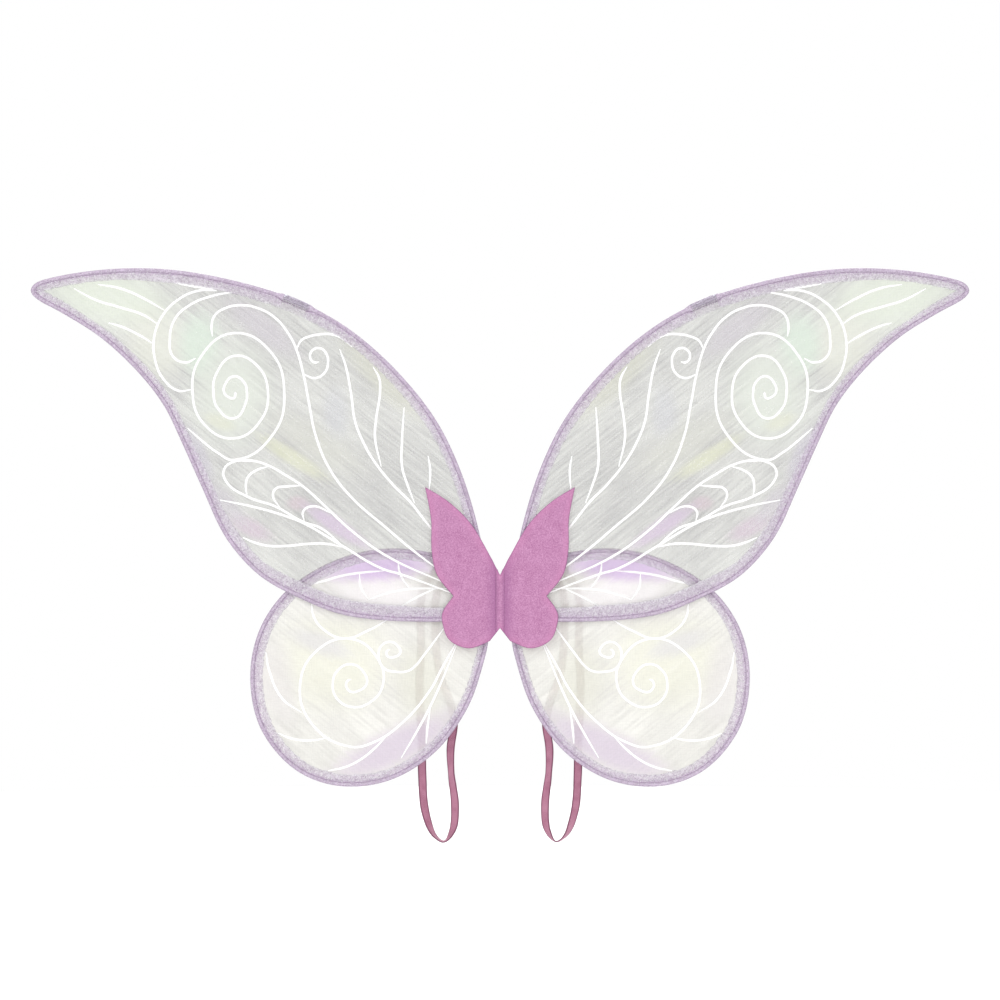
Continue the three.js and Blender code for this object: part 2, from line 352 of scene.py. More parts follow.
# Right strap, in millimetres: down the outer run, round the bottom and up the inner run.
STRAP_ROUTE = [
    (60.4, 0.9, 32.4), (60.6, 0.9, 30), (64.5, 1.1, 24), (71.5, 1.4, 15), (75.6, 1.7, 3),
    (76.6, 2.1, -15), (75.8, 2.8, -43), (77.6, 3.6, -86), (75.2, 4.6, -134), (74.9, 5.2, -168),
    (72, 5.8, -203.5), (63.4, 6.2, -226.6), (53.8, 6.3, -233), (45.3, 6.1, -220.8),
    (43.4, 5.6, -196.8), (46.8, 5, -168), (47.6, 4.6, -144), (44.4, 4.2, -117), (49, 3.9, -96),
    (57, 3.5, -74.9), (61.2, 2.8, -48), (62.2, 2.2, -24), (62.2, 1.7, -4), (59, 1.4, 10),
    (53.5, 1.1, 22), (51.1, 0.9, 30), (51, 0.9, 32.4),
]

# How far the ribbon is turned out of the wearer's plane along its length, in degrees.
STRAP_TURN = [(0, 0), (0.42, 5), (0.46, 30), (0.49, 75), (0.505, 85), (0.52, 55), (0.54, 22),
              (0.58, 8), (0.63, 38), (0.68, 10), (1, 0)]

# Half of the ribbon's section, across and through, in millimetres: a flat middle
# between two beaded edges.
STRAP_SECTION = [(-4, 0), (-3.75, 0.42), (-3.1, 0.58), (-2.3, 0.46), (0, 0.48), (2.3, 0.46),
                 (3.1, 0.58), (3.75, 0.42)]


def braided_elastic():
    """Braided polyester elastic: matt, with a fine slanted rib and painted shade along its beaded edges.
    """
    material = blank_material("braided_elastic")
    along = add(material, "ShaderNodeAttribute", attribute_name="along")
    across = add(material, "ShaderNodeAttribute", attribute_name="across")
    width = add(material, "ShaderNodeMath", {0: across.outputs["Fac"]}, operation="ABSOLUTE")
    # The rib is 1.7 mm from ridge to ridge, about twice the real one, so that it shows.
    slant = add(material, "ShaderNodeMath",
                {0: along.outputs["Fac"], 1: width.outputs[0]}, operation="ADD")
    wave = add(material, "ShaderNodeMath",
               {0: slant.outputs[0], 1: 2 * math.pi / 1.7}, operation="MULTIPLY")
    rib = add(material, "ShaderNodeMath", {0: wave.outputs[0]}, operation="SINE")
    ridge = add(material, "ShaderNodeMapRange", {
        "Value": rib.outputs[0], "From Min": -1.0, "From Max": 1.0})
    place = add(material, "ShaderNodeTexCoord")
    wear = add(material, "ShaderNodeTexNoise", {
        "Vector": place.outputs["Object"], "Scale": 1 / (9 * MM), "Detail": 4.0})
    shade = add(material, "ShaderNodeMath",
                {0: ridge.outputs[0], 1: 0.55, 2: wear.outputs["Fac"]}, operation="MULTIPLY_ADD")
    tone = add(material, "ShaderNodeValToRGB", {"Fac": shade.outputs[0]})
    stops(tone, (0.25, "#874e69"), (0.7, "#a5667f"), (1.0, "#ba849a"))
    # Painted shade: the ribbon is darkened towards its beaded edges.
    edge = add(material, "ShaderNodeMapRange", {
        "Value": width.outputs[0], "From Min": 2.4, "From Max": 3.3}, interpolation_type="SMOOTHSTEP")
    colour = add(material, "ShaderNodeMix", {
        0: edge.outputs[0], 6: tone.outputs[0], 7: linear("#743c57")}, data_type="RGBA")
    bump = add(material, "ShaderNodeBump", {
        "Height": ridge.outputs[0], "Strength": 0.5, "Distance": 0.3 * MM})
    cloth = add(material, "ShaderNodeBsdfPrincipled", {
        "Base Color": colour.outputs[2], "Roughness": 0.8, "Normal": bump.outputs[0],
        "Sheen Weight": 0.25, "Sheen Roughness": 0.5})
    return close_material(material, cloth)


def ribbon_frames(path):
    """For each point of the strap, its side and its face direction."""
    frames = []
    for i in range(len(path)):
        ahead = (path[min(i + 1, len(path) - 1)] - path[max(i - 1, 0)]).normalized()
        facing = Vector((0, -1, 0))
        side = ahead.cross(facing).normalized()
        facing = side.cross(ahead)
        turn = math.radians(keyed(STRAP_TURN, i / (len(path) - 1)))
        frames.append((side * math.cos(turn) + facing * math.sin(turn),
                       facing * math.cos(turn) - side * math.sin(turn)))
    return frames


def make_straps():
    elastic = braided_elastic()
    outline = STRAP_SECTION + [(-across, -through) for across, through in STRAP_SECTION]
    for side, sign in SIDES.items():
        route = [Vector((sign * x, y, z)) * MM for x, y, z in STRAP_ROUTE]
        path = even_path(route, STRAP_STEP)
        bm = bmesh.new()
        along = bm.verts.layers.float.new("along")
        across = bm.verts.layers.float.new("across")
        rings, alongs, acrosses = [], [], []
        for i, (centre, (wide, face)) in enumerate(zip(path, ribbon_frames(path))):
            slack = 1 + 0.04 * noise.noise(centre * 60)
            rings.append([centre + wide * a * slack * MM + face * t * MM for a, t in outline])
            alongs.append([i * STRAP_STEP / MM] * len(outline))
            acrosses.append([a for a, _ in outline])
        sweep(bm, rings, {along: alongs, across: acrosses})
        name = f"{side}_elastic_strap"
        strap = make_piece(name, bm, elastic, replaced=(f"{side}_shoulder_strap",))
        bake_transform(strap)


# ---------------------------------------------------------------- felt butterfly


def craft_felt():
    """Pressed polyester felt: no weave, only matted fibres that catch light softly."""
    material = blank_material("craft_felt")
    place = add(material, "ShaderNodeTexCoord").outputs["Object"]
    cloud = add(material, "ShaderNodeTexNoise", {
        "Vector": place, "Scale": 1 / (11 * MM), "Detail": 3.0, "Roughness": 0.55})
    # Fibres are a tenth of this width. They are drawn as 1 mm tufts, so that they show.
    tufts = add(material, "ShaderNodeTexNoise", {
        "Vector": place, "Scale": 1 / (1.3 * MM), "Detail": 4.0, "Roughness": 0.8,
        "Distortion": 0.6})
    nap = add(material, "ShaderNodeMath",
              {0: cloud.outputs["Fac"], 1: 0.16, 2: tufts.outputs["Fac"]}, operation="MULTIPLY_ADD")
    tone = add(material, "ShaderNodeValToRGB", {"Fac": nap.outputs[0]})
    stops(tone, (0.42, "#a56a93"), (0.58, "#ba82a9"), (0.74, "#d29dc3"))
    rim = add(material, "ShaderNodeAttribute", attribute_name="rim")
    # Painted shade: a thin dark outline on the rounded cut edge.
    painted_edge_shade = add(material, "ShaderNodeMapRange", {
        "Value": rim.outputs["Fac"], "From Min": 0.9, "From Max": 0.2, "To Max": 0.75},
        interpolation_type="SMOOTHSTEP")
    blush = add(material, "ShaderNodeMapRange", {
        "Value": rim.outputs["Fac"], "From Min": 9.0, "From Max": 0.5, "To Max": 0.35},
        interpolation_type="SMOOTHSTEP")
    warm = add(material, "ShaderNodeMix", {
        0: blush.outputs[0], 6: tone.outputs[0], 7: linear("#cc87b2")}, data_type="RGBA")
    edged = add(material, "ShaderNodeMix", {
        0: painted_edge_shade.outputs[0], 6: warm.outputs[2], 7: linear("#985c8b")}, data_type="RGBA")
    # Painted shade beside the crease, where the felt dips, read from the dip layer.
    painted_crease_shade = add(material, "ShaderNodeAttribute", attribute_name="dip")
    colour = add(material, "ShaderNodeMix", {
        0: painted_crease_shade.outputs["Fac"], 6: edged.outputs[2], 7: linear("#98608f")}, data_type="RGBA")
    bump = add(material, "ShaderNodeBump", {
        "Height": tufts.outputs["Fac"], "Strength": 0.8, "Distance": 0.5 * MM})
    felt = add(material, "ShaderNodeBsdfPrincipled", {
        "Base Color": colour.outputs[2], "Roughness": 0.95, "Normal": bump.outputs[0],
        "Sheen Weight": 0.2, "Sheen Roughness": 0.6, "Sheen Tint": linear("#f0c8e4"),
        "Specular IOR Level": 0.2})
    return close_material(material, felt)


def crease_depth(x):
    """Share of the full dip at a distance from the middle of the wings."""
    beyond = abs(x) - STRIP_EDGE
    width = FELT_DIP_WIDTH if beyond > 0 else STRIP_DIP_WIDTH
    return math.exp(-(beyond / width) ** 2)


def slide_to_strip(bm, fold):
    """Lengthen a wing half's panel from its fold to the middle strip, along its own outline."""
    for vert in bm.verts:
        if abs(vert.co.x - fold) < MERGE:
            ends = [edge.other_vert(vert).co for edge in vert.link_edges]
            inner = max(ends, key=lambda co: co.x)
            slope = (vert.co - inner) / (vert.co.x - inner.x)
            vert.co = inner + slope * (STRIP_EDGE - inner.x)


def at_crease(vert):
    return abs(abs(vert.co.x) - STRIP_EDGE) < 0.01 * MM


def felt_panel(node, dips):
    """A felt panel with rounded cut edges and a slightly uneven face, on a CAD plate."""
    low, high = (Vector(corner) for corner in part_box(node))
    bm = front_face(node)
    if low.x > 0:
        slide_to_strip(bm, low.x)
    for width in (0.2 * MM, 0.4 * MM):
        inner = max(bm.faces, key=lambda face: face.calc_area())
        bmesh.ops.inset_region(bm, faces=[inner], thickness=width, use_even_offset=True)
    cut_grid(bm, FELT_CELL)
    rim_of = rim_finder(bm, 0.2 * MM, skip=at_crease)
    middle = (low.y + high.y) / 2
    half = (high.y - low.y) / 2

    def bulge(flat):
        share = 1 - min(rim_of(flat) / FELT_ROUND, 1)
        return half * math.sqrt(1 - share * share)

    def uneven(flat):
        dip = FELT_DIP * crease_depth(flat.x) if dips else 0
        return middle + dip + 0.12 * MM * (1 + noise.noise(flat * 70)) * min(rim_of(flat) / MM, 1)

    level = low.y
    close_panel(bm, lambda flat: uneven(flat) - bulge(flat), lambda flat: uneven(flat) + bulge(flat))
    open_edges = [edge for edge in bm.edges if edge.is_boundary]
    bmesh.ops.holes_fill(bm, edges=open_edges)
    rim = bm.verts.layers.float.new("rim")
    dip = bm.verts.layers.float.new("dip")
    for vert in bm.verts:
        flat = Vector((vert.co.x, level, vert.co.z))
        vert[rim] = rim_of(flat) / MM
        # The dip layer also feeds the painted shade beside the crease in the felt's colour.
        vert[dip] = crease_depth(flat.x) * 0.55 if dips else 0.0
    return bm


def make_felt():
    felt = craft_felt()
    for layer in ("front", "back"):
        halves = make_pair(f"{layer}_felt_half", felt_panel(f"right_{layer}_felt", layer == "front"),
                           felt, f"{layer}_felt", blended=True)
        for side, half in halves.items():
            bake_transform(half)
        node = f"{layer}_spine_strip"
        make_piece(f"{layer}_middle_strip", felt_panel(node, layer == "front"), felt,
                   "spine", (node,))
    make_core(felt)


def make_core(felt):
    """The packing between the two felts: a stack of felt strips glued on each other."""
    low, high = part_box("spine_core")
    front = low[1] + FELT_DIP + 0.1 * MM
    count = 4
    thick = (high[1] - front) / count
    bm = bmesh.new()
    for i in range(count):
        layer = front_face("spine_core")
        bmesh.ops.scale(layer, vec=(0.8 - 0.05 * (i % 2), 1, 0.97), verts=layer.verts)
        level = front + i * thick
        face = layer.faces[:][0]
        grown = bmesh.ops.extrude_face_region(layer, geom=[face])["geom"]
        for vert in layer.verts:
            vert.co.y = level
        for item in grown:
            if isinstance(item, bmesh.types.BMVert):
                item.co.y = level + thick * 0.94
        bmesh.ops.recalc_face_normals(layer, faces=layer.faces)
        bmesh.ops.bevel(layer, geom=layer.edges[:], offset=0.3 * MM, segments=2, profile=0.5,
                        affect="EDGES", material=-1)
        mesh = bpy.data.meshes.new("layer")
        layer.to_mesh(mesh)
        bm.from_mesh(mesh)
        layer.free()
        bpy.data.meshes.remove(mesh)
    make_piece("spine_packing", bm, felt, "spine", ("spine_core",))


# ---------------------------------------------------------------- wires and sleeves


def wire_path(node):
    """The middle of a CAD wire, ring by ring, from its first end to its last."""
    bm = node_copy(node)
    flat = bm.copy()
    bmesh.ops.dissolve_limit(flat, angle_limit=0.002, verts=flat.verts, edges=flat.edges)
    ends = [face for face in flat.faces if len(face.verts) == 6]
    end = min(ends, key=lambda face: face.calc_perimeter())
    marks = [vert.co for vert in end.verts]
    ring = {vert for vert in bm.verts if any((vert.co - mark).length < MERGE for mark in marks)}
    seen, path = set(), []
    while ring:
        path.append(sum((vert.co for vert in ring), Vector()) / len(ring))
        seen |= ring
        ring = {edge.other_vert(vert) for vert in ring for edge in vert.link_edges} - seen
    bm.free()
    flat.free()
    return path


def spring_steel():
    """Drawn spring steel wire: a dull grey with fine marks from the die."""
    material = blank_material("spring_steel")
    place = add(material, "ShaderNodeTexCoord").outputs["Object"]
    marks = add(material, "ShaderNodeTexNoise", {
        "Vector": place, "Scale": 1 / (0.6 * MM), "Detail": 4.0})
    tone = add(material, "ShaderNodeValToRGB", {"Fac": marks.outputs["Fac"]})
    stops(tone, (0.3, "#7d7f85"), (0.7, "#a3a5aa"))
    rough = add(material, "ShaderNodeMapRange", {
        "Value": marks.outputs["Fac"], "To Min": 0.28, "To Max": 0.45})
    steel = add(material, "ShaderNodeBsdfPrincipled", {
        "Base Color": tone.outputs[0], "Metallic": 1.0, "Roughness": rough.outputs[0]})
    return close_material(material, steel)


def nickel_plate():
    """Nickel-plated brass tube: bright, with a few handling scratches."""
    material = blank_material("nickel_plate")
    place = add(material, "ShaderNodeTexCoord").outputs["Object"]
    scratch = add(material, "ShaderNodeTexNoise", {
        "Vector": place, "Scale": 1 / (1.5 * MM), "Detail": 6.0, "Distortion": 3.0})
    rough = add(material, "ShaderNodeMapRange", {
        "Value": scratch.outputs["Fac"], "From Min": 0.35, "From Max": 0.65,
        "To Min": 0.16, "To Max": 0.38})
    tone = add(material, "ShaderNodeValToRGB", {"Fac": scratch.outputs["Fac"]})
    stops(tone, (0.35, "#8c8d95"), (0.65, "#b3b4bb"))
    nickel = add(material, "ShaderNodeBsdfPrincipled", {
        "Base Color": tone.outputs[0], "Metallic": 1.0, "Roughness": rough.outputs[0]})
    return close_material(material, nickel)


def make_wire(name, path, steel):
    """A round sprung wire along the CAD wire's middle."""
    points = even_path(path, 3 * MM)
    radius = 1.0 * MM
    sides = 10
    rings = []
    for i, centre in enumerate(points):
        ahead = (points[min(i + 1, len(points) - 1)] - points[max(i - 1, 0)]).normalized()
        depth = Vector((0, 1, 0))
        out = depth.cross(ahead)
        turns = [2 * math.pi * k / sides for k in range(sides)]
        rings.append([centre + (out * math.cos(a) + depth * math.sin(a)) * radius for a in turns])
    bm = bmesh.new()
    sweep(bm, rings)
    make_pair(f"{name}_sprung_wire", bm, steel, f"{name}_wire")


def make_sleeve(name, line, joint, nickel, length, bore, radius):
    """A short tube over the wire's two ends, with rounded mouths and two crimps."""
    bm = bmesh.new()
    half = length / 2
    wall = radius - bore
    lip = 0.3 * wall
    pinch = 0.28 * wall
    profile = [(bore, -half + lip), (bore + lip, -half), (radius - lip, -half), (radius, -half + lip)]
    for share in (-0.62, 0.62):
        crimp = share * half
        profile += [(radius, crimp - 1.2 * MM), (radius - pinch, crimp - 0.6 * MM),
                    (radius - pinch, crimp + 0.6 * MM), (radius, crimp + 1.2 * MM)]
    profile += [(radius, half - lip), (radius - lip, half), (bore + lip, half), (bore, half - lip)]
    loop = [bm.verts.new((r, 0, h)) for r, h in profile]
    edges = [bm.edges.new((a, b)) for a, b in zip(loop, loop[1:] + loop[:1])]
    bmesh.ops.spin(bm, geom=loop + edges, cent=(0, 0, 0), axis=(0, 0, 1), angle=2 * math.pi,
                   steps=32, use_merge=True)
    bmesh.ops.remove_doubles(bm, verts=bm.verts, dist=MERGE)
    bmesh.ops.recalc_face_normals(bm, faces=bm.faces)
    reach = round(half / HEM_STEP)
    turn = (line[reach] - line[-reach]).to_track_quat("Z", "Y").to_matrix().to_4x4()
    bmesh.ops.transform(bm, matrix=Matrix.Translation(joint) @ turn, verts=bm.verts)
    make_pair(f"{name}_joining_sleeve", bm, nickel, f"{name}_sleeve")


# ---------------------------------------------------------------- hems

# Width of the hem at places round each wing: x, z and width, in millimetres.
HEM_WIDTHS = {
    "upper": [(300, 312, 11), (200, 288, 11.5), (100, 218, 10), (40, 120, 8.5), (425, 300, 9),
              (390, 258, 7.5), (310, 165, 8), (285, 105, 9), (250, 48, 11), (190, 5, 13),
              (115, -17, 13.5), (60, -19, 12)],
    "lower": [(113, 48, 9), (200, 10, 9.5), (238, -72, 10.5), (228, -122, 10.5), (153, -177, 10),
              (90, -165, 9), (40, -115, 8), (20, -65, 7.5)],
}
SLEEVE_COVER = {"upper": 20 * MM, "lower": 0}  # half length of the bulge over the sleeve


def hem_width(wing, place):
    """Width of the hem at a place, from the nearest listed widths."""
    total = weights = 0
    for x, z, width in HEM_WIDTHS[wing]:
        weight = 1 / ((place.x - x * MM) ** 2 + (place.z - z * MM) ** 2 + (8 * MM) ** 2) ** 1.5
        total += width * MM * weight
        weights += weight
    return total / weights


def hem_profile(width, roll, bulge):
    """Half of the hem's section, from its inner edge out to its nose: across and through."""
    flat = 0.56 * MM
    lip = width - 1.1 * MM
    groove = SEAM * bulge
    fold = groove + 0.6 * MM
    return [
        (-width, 0.0), (-width + 0.35 * MM, 0.42 * MM), (-lip, flat), (-(lip + fold) / 2, 0.5 * MM),
        (-fold - 0.6 * MM, flat), (-fold, 0.6 * MM), (-groove, 0.36 * MM),
        (-1.8 * MM * bulge, 0.85 * MM * bulge), (-1.1 * MM * bulge, roll * 0.88 * bulge),
        (0.0, roll * bulge), (1.0 * MM * bulge, roll * 0.82 * bulge),
        (1.5 * MM * bulge, roll * 0.42 * bulge), (1.7 * MM * bulge, 0.0),
    ]


def hem_stretch(wing, path):
    """The stretch of the wire's loop that the CAD hem covers, as one run of points."""
    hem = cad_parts[f"right_{wing}_hem"].data
    tree = kdtree.KDTree(len(hem.vertices))
    for vert in hem.vertices:
        tree.insert(vert.co, vert.index)
    tree.balance()
    # The steps of the CAD hem are long, so only the longest bare run is its real gap.
    bare = [tree.find(point)[2] > 3 * MM for point in path]
    best, first = 0, 0
    for start in range(len(path)):
        run = 0
        while run < len(path) and bare[(start + run) % len(path)]:
            run += 1
        if run > best:
            best, first = run, start
    after = first + best
    return [path[(after + k) % len(path)] for k in range(len(path) - best)]


def glitter_hem():
    """Folded organza with silver glitter: a mauve roll with a painted highlight on its crown, painted
    shade in the seam groove, and a pale flap.
    """
    material = blank_material("glitter_hem")
    place = add(material, "ShaderNodeTexCoord").outputs["Object"]
    across = add(material, "ShaderNodeAttribute", attribute_name="across").outputs["Fac"]
    inner = add(material, "ShaderNodeAttribute", attribute_name="inner").outputs["Fac"]
    cover = add(material, "ShaderNodeAttribute", attribute_name="cover").outputs["Fac"]
    # Across the hem: pale flap, painted shade in the seam groove, a painted highlight on the crown of the
    # roll, and painted shade on its mauve nose where it turns away.
    share = add(material, "ShaderNodeMapRange", {
        "Value": across, "From Min": -8.0, "From Max": 1.7})
    tone = add(material, "ShaderNodeValToRGB", {"Fac": share.outputs[0]})
    stops(tone, (0.0, "#eae0ee"), (0.4, "#eadaf0"), (0.55, "#e6d0ec"), (0.595, "#907a96"),
          (0.645, "#b9a4bf"), (0.78, "#e5d3ea"), (0.9, "#d3bfd8"), (1.0, "#a18cab"))
    edge = add(material, "ShaderNodeMapRange", {
        "Value": inner, "From Min": 2.2, "From Max": 0.7, "To Max": 0.9},
        interpolation_type="SMOOTHSTEP")
    paled = add(material, "ShaderNodeMix", {
        0: edge.outputs[0], 6: tone.outputs[0], 7: linear("#efedf2")}, data_type="RGBA")
    # Painted shade in the creases where the strip is gathered, about 4 mm apart along the wire.
    gather = add(material, "ShaderNodeTexNoise", {
        "Vector": place, "Scale": 1 / (3.2 * MM), "Detail": 3.0})
    pleat = add(material, "ShaderNodeMapRange", {
        "Value": gather.outputs["Fac"], "From Min": 0.35, "From Max": 0.7,
        "To Min": 0.5, "To Max": 0.0})
    pleat_shaded = add(material, "ShaderNodeMix", {
        0: pleat.outputs[0], 6: paled.outputs[2], 7: linear("#b09db4")}, data_type="RGBA")
    # Glitter flakes are 0.2 mm. They are drawn 0.9 mm wide, so that they show.
    flakes = add(material, "ShaderNodeTexVoronoi", {"Vector": place, "Scale": 1 / (0.9 * MM)})
    flake = add(material, "ShaderNodeSeparateColor", {0: flakes.outputs["Color"]})
    # The roll is stretched tight, so fewer flakes stand up on it than on the flap.
    rough_side = add(material, "ShaderNodeMapRange", {
        "Value": share.outputs[0], "From Min": 0.5, "From Max": 0.65, "To Min": 0.8, "To Max": 0.3})
    # Painted glints: some flakes are painted near-white, as if catching the light.
    lit = add(material, "ShaderNodeMapRange", {
        "Value": flake.outputs[0], "From Min": 0.66, "From Max": 0.8,
        "To Max": rough_side.outputs[0]})
    # Painted shade: other flakes are painted dark, as if turned from the light.
    shaded_flakes = add(material, "ShaderNodeMapRange", {
        "Value": flake.outputs[1], "From Min": 0.7, "From Max": 0.8, "To Max": 0.45})
    sparkled = add(material, "ShaderNodeMix", {
        0: lit.outputs[0], 6: pleat_shaded.outputs[2], 7: linear("#f6f4f8")}, data_type="RGBA")
    colour = add(material, "ShaderNodeMix", {
        0: shaded_flakes.outputs[0], 6: sparkled.outputs[2], 7: linear("#968299")}, data_type="RGBA")
    bump = add(material, "ShaderNodeBump", {
        "Height": flake.outputs[2], "Strength": 0.5, "Distance": 0.3 * MM})
    solid = add(material, "ShaderNodeMapRange", {
        "Value": share.outputs[0], "From Min": 0.45, "From Max": 0.62,
        "To Min": 0.58, "To Max": 0.78})
    alpha = add(material, "ShaderNodeMath", {0: solid.outputs[0], 1: cover}, operation="MULTIPLY")
    cloth = add(material, "ShaderNodeBsdfPrincipled", {
        "Base Color": colour.outputs[2], "Alpha": alpha.outputs[0], "Roughness": 0.42,
        "Normal": bump.outputs[0], "Sheen Weight": 0.15, "Sheen Roughness": 0.4})
    return close_material(material, cloth)


def seam_thread():
    """Twisted polyester sewing thread, a little darker than the hem."""
    material = blank_material("seam_thread")
    place = add(material, "ShaderNodeTexCoord").outputs["Object"]
    twist = add(material, "ShaderNodeTexNoise", {
        "Vector": place, "Scale": 1 / (0.5 * MM), "Detail": 2.0})
    tone = add(material, "ShaderNodeValToRGB", {"Fac": twist.outputs["Fac"]})
    stops(tone, (0.35, "#8b7391"), (0.65, "#a892ad"))
    thread = add(material, "ShaderNodeBsdfPrincipled", {
        "Base Color": tone.outputs[0], "Roughness": 0.6})
    return close_material(material, thread)


def outward(path, i):
    """Direction out of the wing at a point of its wire, for a loop drawn anticlockwise."""
    ahead = path[min(i + 1, len(path) - 1)] - path[max(i - 1, 0)]
    return Vector((ahead.z, 0, -ahead.x)).normalized()


def make_hem(wing, loop, joint, cloth, thread):
    path = hem_stretch(wing, loop)
    bm = bmesh.new()
    layers = {name: bm.verts.layers.float.new(name) for name in ("across", "inner", "along", "cover")}
    notes = {layer: [] for layer in layers.values()}
    rings, seams = [], []
    for i, centre in enumerate(path):
        out = outward(path, i)
        crumple = noise.noise(centre * 190)
        width = hem_width(wing, centre) + 0.9 * MM * noise.noise(centre * 420)
        roll = HEM_ROLL * (1 - 0.05 * abs(crumple))
        from_joint = (centre - joint).length
        swell = SLEEVE_COVER[wing]
        bulge = 1 + 0.82 * smoothstep(swell, 0.65 * swell, from_joint) if swell else 1
        thinned = 0.5 * smoothstep(0.7 * swell, 0.6 * swell, from_joint) if swell else 0
        half = hem_profile(width, roll, bulge)
        wave = 0.12 * MM * noise.noise(centre * 260)
        section = [(a, -t) for a, t in half] + [(a, t) for a, t in half[-2:0:-1]]
        groove = SEAM * bulge
        ring, unrolled, covers = [], [], []
        for a, t in section:
            on_flap = a < -groove
            ring.append(centre + out * a + Vector((0, t + wave * on_flap, 0)))
            unrolled.append((a + groove - SEAM if on_flap else a / bulge) / MM)
            covers.append(1 - thinned * (0.3 if a > 1.2 * MM * bulge else 1))
        rings.append(ring)
        notes[layers["across"]].append(unrolled)
        notes[layers["inner"]].append([(a + width) / MM for a, _ in section])
        notes[layers["along"]].append([i * HEM_STEP / MM] * len(section))
        notes[layers["cover"]].append(covers)
        seams.append(centre - out * groove)
    sweep(bm, rings, notes)
    hem = make_pair(f"{wing}_glitter_hem", bm, cloth, f"{wing}_hem")
    make_pair(f"{wing}_hem_stitching", stitches_along(seams), thread)
    return hem


def stitches_along(seam):
    """A run of lock stitches that shows on both faces of the hem."""
    stitch = bmesh.new()
    bmesh.ops.create_uvsphere(stitch, u_segments=6, v_segments=4, radius=STITCH_RADIUS)
    bmesh.ops.scale(stitch, vec=(1, 1, STITCH_LENGTH / 2 / STITCH_RADIUS), verts=stitch.verts)
    pattern = bpy.data.meshes.new("stitch")
    stitch.to_mesh(pattern)
    stitch.free()
    bm = bmesh.new()
    every = round(STITCH_PITCH / HEM_STEP)
    for i in range(every, len(seam) - every, every):
        ahead = (seam[i + 1] - seam[i - 1]).normalized()
        turn = ahead.to_track_quat("Z", "Y").to_matrix().to_4x4()
        for face in (-1, 1):
            start = len(bm.verts)
            bm.from_mesh(pattern)
            bm.verts.ensure_lookup_table()
            place = Matrix.Translation(seam[i] + Vector((0, face * 0.44 * MM, 0)))
            bmesh.ops.transform(bm, matrix=place @ turn, verts=bm.verts[start:])
    bpy.data.meshes.remove(pattern)
    return bm


# ---------------------------------------------------------------- films

# Tinted patches of a film, most of them painted iridescent sheen: hex colour, strength, centre x and z,
# half length, half width and slant in degrees. Sizes are in millimetres.
FILM_TINTS = {
    "upper": [
        ("#d6dece", 0.9, 375, 290, 75, 32, 15), ("#d8dacd", 0.8, 330, 245, 38, 34, 50),
        ("#c9dcca", 0.8, 288, 245, 22, 34, 0), ("#d2d9cd", 0.8, 258, 198, 44, 54, 0),
        ("#d2d4ba", 0.6, 269, 171, 18, 8, 20), ("#b8b1bc", 0.8, 228, 262, 50, 15, 38),
        ("#c3c4b2", 0.7, 112, 215, 62, 17, 45), ("#b9bac1", 0.7, 158, 178, 14, 30, 0),
        ("#cdd0ac", 0.75, 199, 137, 42, 9, 32), ("#c6c7bc", 0.6, 178, 152, 62, 20, 30),
        ("#b1abbb", 0.8, 290, 140, 34, 10, 65), ("#c0acb7", 0.8, 194, 93, 12, 8, 0),
        ("#c0a9c8", 0.9, 157, 71, 40, 9, 34), ("#c1adbf", 0.9, 241, 70, 26, 10, 28),
        ("#b8b1bd", 0.7, 262, 92, 30, 10, 50), ("#c4a9cf", 0.8, 115, 20, 26, 12, 0),
    ],
    "lower": [
        ("#eeeede", 0.6, 160, -60, 60, 50, 0), ("#e2dedf", 0.6, 214, -80, 50, 20, 80),
        ("#d8cddc", 0.95, 100, -141, 76, 20, -26), ("#e2e2d4", 0.5, 77, -77, 26, 40, 0),
        ("#dcdae0", 0.6, 172, -42, 34, 12, 20),
        # The near-white patch at x 118, z 2 is painted light: it brightens the lower film where the upper
        # wing shades it.
        ("#f7f3f7", 0.7, 118, 2, 68, 22, 0), ("#cdaae0", 0.8, 118, 31, 62, 14, -4),
    ],
}
FILM_BASE = {"upper": ("#a6a6a7", "#cdceca"), "lower": ("#dbdad7", "#f3f2ee")}
FILM_COVER = {"upper": (0.34, 0.49), "lower": (0.58, 0.74)}  # alpha of one face of the film

# Where a film is thinnest, as for a tint: centre x and z, half sizes, slant, the share of its
# cover that is left, and where its edge begins as a share of the half size. The upper film is
# thin where the lower wing backs it.
FILM_THIN = {"upper": (100, -90, 149, 140, 0, 0.06, 0.985), "lower": (118, 34, 90, 16, -4, 0.85, 0.6)}


